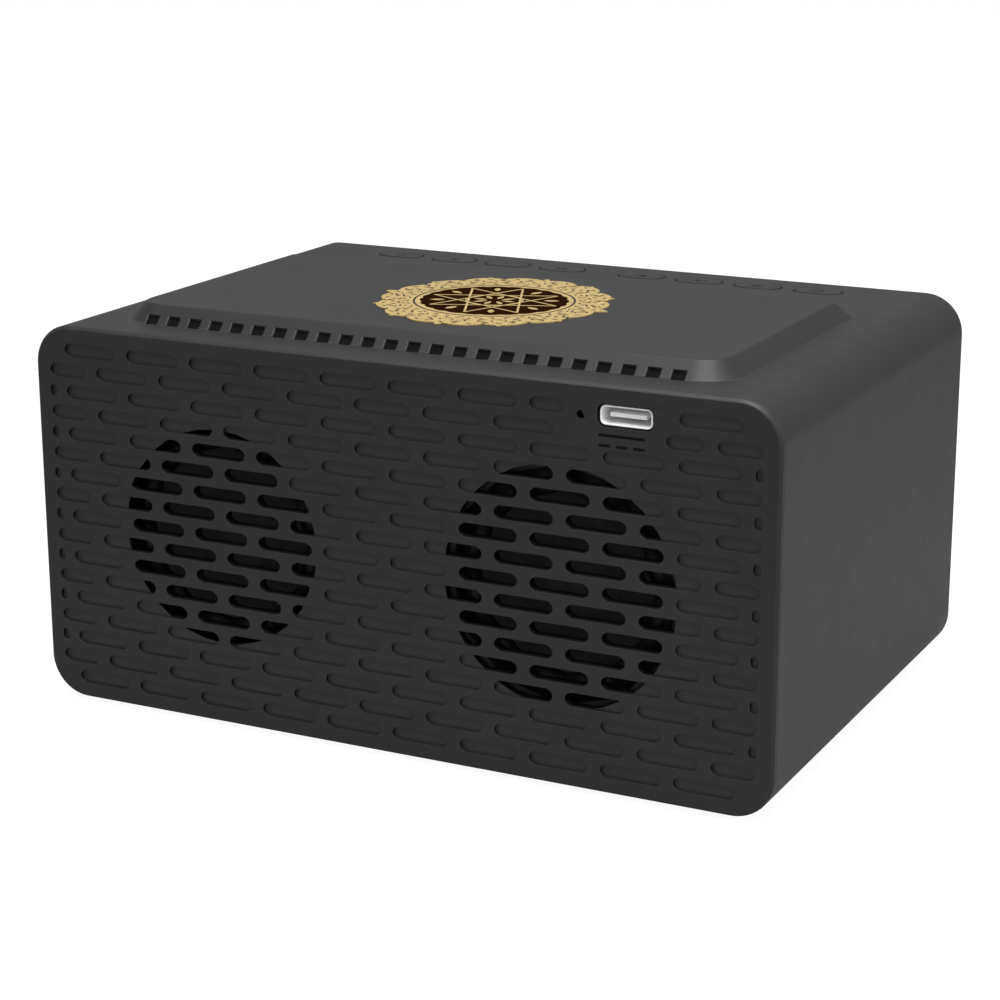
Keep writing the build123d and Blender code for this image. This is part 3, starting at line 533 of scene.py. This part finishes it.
def make_surround(side):
    """Straight flats of the half-roll, mitred together round the cone, each made as its own piece in place
    of the CAD surround.
    """
    node = f"speaker_{side}_surround"
    low, high = [Vector(corner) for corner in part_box(node)]
    middle = Vector(((low.x + high.x) / 2, low.y, (low.z + high.z) / 2))
    section, half_turn = roll_section(), math.pi / SURROUND_FLATS
    for number in range(SURROUND_FLATS):
        turn = half_turn * (2 * number + 1)
        form = bmesh.new()
        here, there = [
            [form.verts.new(middle + spoke(end, *point)) for point in section]
            for end in (turn - half_turn, turn + half_turn)
        ]
        for i in range(len(section)):
            form.faces.new((here[i - 1], here[i], there[i], there[i - 1])).smooth = True
        form.faces.new(here[::-1])
        form.faces.new(there)
        bmesh.ops.recalc_face_normals(form, faces=form.faces)
        flat = new_piece(f"{node}_{number + 1}", form, LOOKS["surround_rubber"])
        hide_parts(node)
        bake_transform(flat)


# Flat pieces: outlines drawn in a plane and raised a little


def on_top(across, along, height):
    return Vector((across, along, height)) * MM


def on_end(across, up, depth):
    return Vector((across, depth, up)) * MM


def raised(name, outlines, low, high, plane, look, body):
    """Thin piece made of flat outlines, each raised from low to high, crossing ones a hair apart."""
    form = bmesh.new()
    for number, outline in enumerate(outlines):
        level = high + number % HAIR_LEVELS * HAIR * (1 if high > low else -1)
        base = [form.verts.new(plane(*point, low)) for point in outline]
        top = [form.verts.new(plane(*point, level)) for point in outline]
        form.faces.new(top)
        form.faces.new(base[::-1])
        for i in range(len(outline)):
            j = (i + 1) % len(outline)
            form.faces.new((base[i], base[j], top[j], top[i]))
    bmesh.ops.recalc_face_normals(form, faces=form.faces)
    obj = new_piece(name, form, look)
    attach(obj, body)
    return obj


def stroke(points, width, closed=False):
    """A line as four-cornered outlines, one for each of its runs."""
    count, sides = len(points), []
    for i, point in enumerate(points):
        before = points[i - 1] if closed or i else point
        after = points[(i + 1) % count] if closed or i < count - 1 else point
        aside = (after - before).orthogonal().normalized() * width / 2
        sides.append((point + aside, point - aside))
    runs = [(sides[i], sides[(i + 1) % count]) for i in range(count if closed else count - 1)]
    return [(here[0], there[0], there[1], here[1]) for here, there in runs]


def petal(middle, turn, length, width, steps=5):
    """Pointed leaf, drawn as two arcs that meet at its ends."""
    side = [(0.5 - i / steps, math.sin(math.pi * i / steps) / 2) for i in range(steps + 1)]
    ring = side + [(a, -b) for a, b in side[-2:0:-1]]
    return [middle + Matrix.Rotation(turn, 2) @ Vector((a * length, b * width)) for a, b in ring]


def disc(middle, radius, steps=14):
    turns = [2 * math.pi * i / steps for i in range(steps)]
    return [middle + Vector((math.cos(t), math.sin(t))) * radius for t in turns]


# Medallion: a band of petals round an eight-pointed star

QUARTER = math.pi / 2


def in_band(share, turn):
    """Point of the medallion's band, from 0 at its inner edge to 1 at its outer edge."""
    across, along = [inner + (outer - inner) * share for inner, outer in zip(BAND_INNER, BAND_OUTER)]
    return Vector((MEDAL_X + across * math.cos(turn), MEDAL_Y + along * math.sin(turn)))


def in_field(share, turn):
    """Point of the dark field, from 0 in its middle to 1 at its edge."""
    across, along = BAND_INNER
    return Vector((MEDAL_X + across * share * math.cos(turn), MEDAL_Y + along * share * math.sin(turn)))


BAND_RINGS = (  # share of the band's width, count, length, width, offset, lean, swing
    (0.9, 48, 1.3, 0.5, 0.0, QUARTER, 0.5),
    (0.76, 24, 2.1, 0.6, 0.5, 0.0, 0.9),
    (0.66, 48, 1.1, 0.5, 0.5, 0.0, 0.4),
    (0.52, 36, 1.9, 0.5, 0.0, QUARTER, 0.35),
    (0.4, 48, 1.0, 0.45, 0.5, 0.0, 0.6),
    (0.29, 36, 1.3, 0.4, 0.5, QUARTER, 0.3),
)
RING_STEPS, RING_SHARE, RING_WIDTH = 96, 0.14, 0.4
TIP_COUNT, TIP_SIZE, LONG_TIP_SIZE = 12, (2.4, 1.5), (4.2, 2.2)
SCALLOPS, SCALLOP_DEPTH = 24, 0.03
STAR_POINTS, STAR_SKIP, STAR_SHARE, STAR_WIDTH = 8, 3, 0.9, 0.42
FIELD_RINGS = ((0.76, STAR_POINTS, 3.0, 1.3, 0.5), (0.2, STAR_POINTS, 2.8, 1.0))  # petals, as in BAND_RINGS
HUB_SHARE, HUB_WIDTH, HUB_SKIP = 0.38, 0.3, 3  # the ring is drawn through every third of the band's turns


def ring_of_petals(place, share, count, length, width, offset=0.0, leaning=0.0, swing=0.0):
    """Petals round a ring; swing leans each one the other way than its neighbour."""
    petals = []
    for i in range(count):
        turn = 2 * math.pi * (i + offset) / count
        lean = leaning + (swing if i % 2 else -swing)
        petals.append(petal(place(share, turn), turn + lean, length, width))
    return petals


def lobed(width, length, steps=192):
    """Oval with the round lobes of the medallion's plate."""
    outline = []
    for turn in [2 * math.pi * i / steps for i in range(steps)]:
        swell = 1 - MEDAL_WAVE + 2 * MEDAL_WAVE * abs(math.sin(MEDAL_LOBES * turn / 2))
        across, along = width / 2 * swell * math.cos(turn), length / 2 * swell * math.sin(turn)
        outline.append((MEDAL_X + across, MEDAL_Y + along))
    return outline


def on_deck(name, outlines, low, high, look):
    """Print or plate of the medallion, between two heights."""
    return raised(name, outlines, low, high, on_top, look, "housing")


def make_band(turns):
    """Gold band with lobes and tips, and the dark gaps of its openwork."""
    gold = LOOKS["gold_foil"]
    band = on_deck("medallion_band", [lobed(MEDAL_WIDTH, MEDAL_LENGTH)], DECK_Z, MEDAL_Z, gold)
    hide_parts("medallion_plate")
    gaps = stroke([in_band(RING_SHARE, t) for t in turns], RING_WIDTH, closed=True)
    for ring in BAND_RINGS:
        gaps += ring_of_petals(in_band, *ring)
    on_deck("medallion_gaps", gaps, MEDAL_Z, MEDAL_Z + PRINT, GAP)
    tips = ring_of_petals(in_band, 1.0, TIP_COUNT, *TIP_SIZE)
    del tips[TIP_COUNT // 2], tips[0]
    tips += ring_of_petals(in_band, 1.0, 2, *LONG_TIP_SIZE)
    on_deck("medallion_tips", tips, DECK_Z, MEDAL_Z - PRINT, gold)


def make_field(turns):
    """Dark scalloped field with a star of strokes, a rosette and a hub ring."""
    edge = [1 - SCALLOP_DEPTH + SCALLOP_DEPTH * abs(math.sin(SCALLOPS / 2 * t)) for t in turns]
    scallops = [in_field(share, t) for share, t in zip(edge, turns)]
    low, high = MEDAL_Z, MEDAL_Z + 2 * PRINT
    field = on_deck("medallion_centre", [scallops], low, high, LOOKS["dark_foil"])
    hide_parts("medallion_field")
    points = [in_field(STAR_SHARE, 2 * math.pi * i / STAR_POINTS) for i in range(STAR_POINTS)]
    star = []
    for i, point in enumerate(points):
        star += stroke([point, points[(i + STAR_SKIP) % STAR_POINTS]], STAR_WIDTH)
    for ring in FIELD_RINGS:
        star += ring_of_petals(in_field, *ring)
    star += stroke([in_field(HUB_SHARE, t) for t in turns[::HUB_SKIP]], HUB_WIDTH, closed=True)
    on_deck("medallion_star", star, MEDAL_Z + PRINT, MEDAL_Z + 4 * PRINT, LOOKS["gold_foil"])


def make_medallion():
    turns = [2 * math.pi * i / RING_STEPS for i in range(RING_STEPS)]
    make_band(turns)
    make_field(turns)


# Display: seven-segment figures and a colon on the light modules

SEGMENT_PLACES = {  # middle across and up, in halves of the figure, and whether it stands upright
    "a": (0, 1, False), "b": (1, 0.5, True), "c": (1, -0.5, True), "d": (0, -1, False),
    "e": (-1, -0.5, True), "f": (-1, 0.5, True), "g": (0, 0, False),
}
LIT_SEGMENTS = {1: "bc", 2: "abged", 4: "fgbc", 5: "afgcd"}


def segment(x, across, up, upright):
    """Bar with pointed ends, leaning with the figure."""
    long = (DIGIT_HEIGHT / 2 if upright else DIGIT_WIDTH) / 2 - SEGMENT_GAP
    half = SEGMENT_WIDTH / 2
    end = long - half
    outline = []
    for a, b in ((long, 0), (end, half), (-end, half), (-long, 0), (-end, -half), (end, -half)):
        side, rise = (b, a) if upright else (a, b)
        rise += up * DIGIT_HEIGHT / 2
        outline.append((x + across * DIGIT_WIDTH / 2 + side + DIGIT_SLANT * rise, DISPLAY_Z + rise))
    return outline


def on_module(name, outlines, look):
    """Light windows on the front of a module."""
    front = MODULE_Y - SEGMENT_HEIGHT
    raised(name, outlines, MODULE_Y, front, on_end, look, "housing")


def make_display():
    for name, (x, number) in DIGITS.items():
        for state, look in (("lit", LIT), ("unlit", UNLIT)):
            bars = [
                segment(x, *place) for letter, place in SEGMENT_PLACES.items()
                if (letter in LIT_SEGMENTS[number]) == (state == "lit")
            ]
            on_module(f"{name}_{state}", bars, look)
    dots = [disc(Vector((0, DISPLAY_Z + side * COLON_HALF)), SEGMENT_WIDTH / 2) for side in (-1, 1)]
    on_module("colon_lit", dots, LIT)


# Marks: the usual signs on the keys and the direct-current sign by the inlet

THIN, BOLD = 0.3, 0.35  # widths of the signs' lines
ARC_RADIUS, ARC_START, ARC_STEP, ARC_POINTS = 1.1, 130, 28, 11  # the power sign's open ring, in degrees
ARROW, STOP_X = 1.7, 1.2
DASH_PITCH, DASH_LENGTH, SYMBOL_LENGTH, SYMBOL_LINE, SYMBOL_RISE = 3.2, 2.1, 8.5, 0.5, 0.9


def triangle(x, size):
    """Arrow head that points along X, or back where its size is negative."""
    back, half = x - size / 2, abs(size) / 2
    return [Vector((back, -half)), Vector((x + size / 2, 0)), Vector((back, half))]


def bar(x, y, width, length):
    corners = ((-1, -1), (1, -1), (1, 1), (-1, 1))
    return [Vector((x + a * width / 2, y + b * length / 2)) for a, b in corners]


def key_signs():
    """Outlines of each key's sign, round the key's own middle."""
    turns = [math.radians(ARC_START + ARC_STEP * i) for i in range(ARC_POINTS)]
    arc = [Vector((math.cos(t), math.sin(t))) * ARC_RADIUS for t in turns]
    minus = bar(0, 0, 2.0, BOLD)
    return {
        "power": stroke(arc, THIN) + [bar(0, 0.9, THIN, 1.2)],
        "mode": [bar(0, y, 2.2, THIN) for y in (-0.8, 0, 0.8)],
        "previous": [bar(-STOP_X, 0, BOLD, ARROW), triangle(0, -ARROW)],
        "play": [triangle(0, 2.0)],
        "next": [triangle(0, ARROW), bar(STOP_X, 0, BOLD, ARROW)],
        "volume_down": [minus],
        "volume_up": [minus, bar(0, 0.6, BOLD, 0.8), bar(0, -0.6, BOLD, 0.8)],
        "set": stroke(disc(Vector((0, 0)), 0.9), THIN, closed=True),
    }


def make_marks():
    for name, outlines in key_signs().items():
        middle = Vector((KEY_X[name], KEY_Y))
        placed = [[middle + point for point in outline] for outline in outlines]
        high = KEY_TOP_Z + MARK_PRINT
        raised(f"sign_{name}", placed, KEY_TOP_Z, high, on_top, MARK, f"{name}_key")
    low_z, high_z = SYMBOL_Z - SYMBOL_RISE, SYMBOL_Z + SYMBOL_RISE
    sign = [bar(SYMBOL_X + i * DASH_PITCH, low_z, DASH_LENGTH, SYMBOL_LINE) for i in (-1, 0, 1)]
    sign.append(bar(SYMBOL_X, high_z, SYMBOL_LENGTH, SYMBOL_LINE))
    depth = REAR_Y + MARK_PRINT
    raised("direct_current_sign", sign, REAR_Y, depth, on_end, MARK, "housing")


# Stage: pale floor, white surroundings, soft lamps and the camera

WHITE, FLOOR_GREY = (1, 1, 1, 1), (170, 170, 170)
FLOOR_SIZE, FLOOR_WHITE_SHARE, FLOOR_WHITE = 4000, 0.7, 1.35
FLOOR_GAP = 0.02  # keeps the floor off the feet's bottoms
ROOM_LIGHT = 0.4
LAMPS = {  # place, what it aims at, size and watts
    "lamp_above": ((-100, 160, 700), (0, 0, 60), 500, 9.65),
    "lamp_side": ((-650, 50, 260), (0, 0, 40), 350, 1.5),
}


def whiten_for_camera(tree, output, shaded, share, kind, strength):
    """Shows a share of plain white to the camera, and the shaded surface to everything else."""
    seen = tree.nodes.new("ShaderNodeLightPath").outputs["Is Camera Ray"]
    white = tree.nodes.new("ShaderNode" + kind)
    white.inputs["Color"].default_value = WHITE
    white.inputs["Strength"].default_value = strength
    mix = tree.nodes.new("ShaderNodeMixShader")
    part = tree.nodes.new("ShaderNodeMath")
    part.operation = "MULTIPLY"
    part.inputs[1].default_value = share
    tree.links.new(seen, part.inputs[0])
    tree.links.new(part.outputs[0], mix.inputs["Fac"])
    tree.links.new(shaded, mix.inputs[1])
    tree.links.new(white.outputs[0], mix.inputs[2])
    tree.links.new(mix.outputs[0], output.inputs["Surface"])


def make_world():
    world = bpy.data.worlds.new("studio")
    bpy.context.scene.world = world
    world.use_nodes = True
    tree = world.node_tree
    tree.nodes.clear()
    output = tree.nodes.new("ShaderNodeOutputWorld")
    room = tree.nodes.new("ShaderNodeBackground")
    room.inputs["Color"].default_value = WHITE
    room.inputs["Strength"].default_value = ROOM_LIGHT
    whiten_for_camera(tree, output, room.outputs[0], 1.0, "Background", 1.0)


def make_floor():
    bpy.ops.mesh.primitive_plane_add(size=FLOOR_SIZE * MM, location=(0, 0, -FLOOR_GAP * MM))
    floor = bpy.context.object
    floor.name = "studio_floor"
    look = Look("studio_floor")
    look.tree.nodes.remove(look.shader)
    diffuse = look.add("BsdfDiffuse")
    diffuse.inputs["Color"].default_value = linear(FLOOR_GREY)
    shaded = diffuse.outputs[0]
    whiten_for_camera(look.tree, look.output, shaded, FLOOR_WHITE_SHARE, "Emission", FLOOR_WHITE)
    paint(floor, look.material)


def soft_lamp(name, place_mm, aim_mm, size_mm, watts):
    """Square lamp that the camera doesn't see."""
    lamp = bpy.data.lights.new(name, "AREA")
    lamp.shape = "SQUARE"
    lamp.size = size_mm * MM
    lamp.energy = watts
    obj = bpy.data.objects.new(name, lamp)
    bpy.context.scene.collection.objects.link(obj)
    obj.location = Vector(place_mm) * MM
    obj.rotation_mode = "QUATERNION"
    obj.rotation_quaternion = (Vector(aim_mm) - Vector(place_mm)).to_track_quat("-Z", "Y")
    obj.visible_camera = False


def make_camera():
    yaw, pitch, roll = [math.radians(a) for a in (CAMERA_YAW, CAMERA_PITCH, CAMERA_ROLL)]
    forward = Vector((math.sin(yaw) * math.cos(pitch), -math.cos(yaw) * math.cos(pitch), -math.sin(pitch)))
    level = Vector((-math.cos(yaw), -math.sin(yaw), 0))
    upright = level.cross(forward)
    right = level * math.cos(roll) + upright * math.sin(roll)
    up = upright * math.cos(roll) - level * math.sin(roll)
    camera = bpy.data.cameras.new("camera")
    camera.lens, camera.sensor_width, camera.sensor_fit = LENS, SENSOR, "HORIZONTAL"
    camera.clip_start, camera.clip_end = NEAREST * MM, FARTHEST * MM
    obj = bpy.data.objects.new("camera", camera)
    bpy.context.scene.collection.objects.link(obj)
    turn = Matrix((right, up, -forward)).transposed().to_4x4()
    obj.matrix_world = Matrix.Translation(CAMERA_PLACE) @ turn
    bpy.context.scene.camera = obj


def make_stage():
    make_world()
    make_floor()
    for name, settings in LAMPS.items():
        soft_lamp(name, *settings)
    make_camera()
    bpy.context.scene.view_settings.view_transform = "Standard"


dress_cad_nodes()
for side in ("left", "right"):
    make_surround(side)
make_medallion()
make_display()
make_marks()
make_stage()
